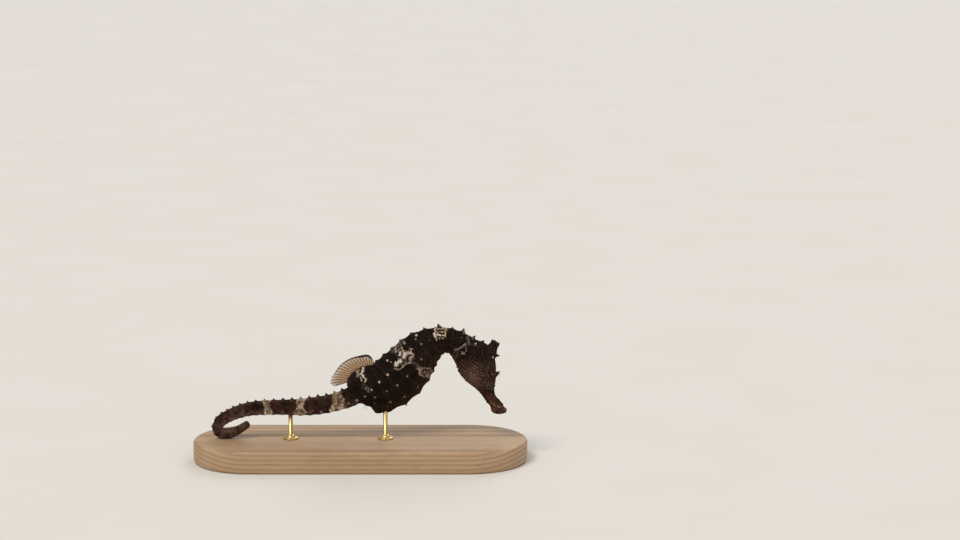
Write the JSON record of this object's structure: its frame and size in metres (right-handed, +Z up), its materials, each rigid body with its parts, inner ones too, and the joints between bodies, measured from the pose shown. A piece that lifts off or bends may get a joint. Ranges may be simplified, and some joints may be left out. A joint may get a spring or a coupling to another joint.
{
  "type": "lined seahorse display model",
  "caption": "Life-size lined seahorse swimming level with bowed head, spiny ringed body and curled tail, on a wooden base with short brass rods.",
  "frame": {"origin": "middle of the base's flat underside", "axes": "+X the way the fish faces, +Y the fish's left side, +Z up"},
  "size_m": [0.124, 0.044, 0.0512],
  "materials": {
    "skin": "satin",
    "eye": "gloss",
    "fin_membrane": "satin",
    "stand_wood": "satin",
    "stand_brass": "satin"
  },
  "bodies": {
    "root": {"snout": "skin", "head": "skin", "coronet": "skin", "eye_right": "eye", "eye_left": "eye", "neck": "skin", "trunk_front": "skin", "trunk_rear": "skin", "tail_1": "skin", "tail_2": "skin", "tail_3": "skin", "tail_4": "skin", "tail_5": "skin", "tail_tip": "skin", "fin_dorsal": "fin_membrane", "fin_anal": "fin_membrane", "fin_pectoral_right": "fin_membrane", "fin_pectoral_left": "fin_membrane", "stand_base": "stand_wood", "stand_rod_front": "stand_brass", "stand_rod_rear": "stand_brass"}
  },
  "joints": []
}
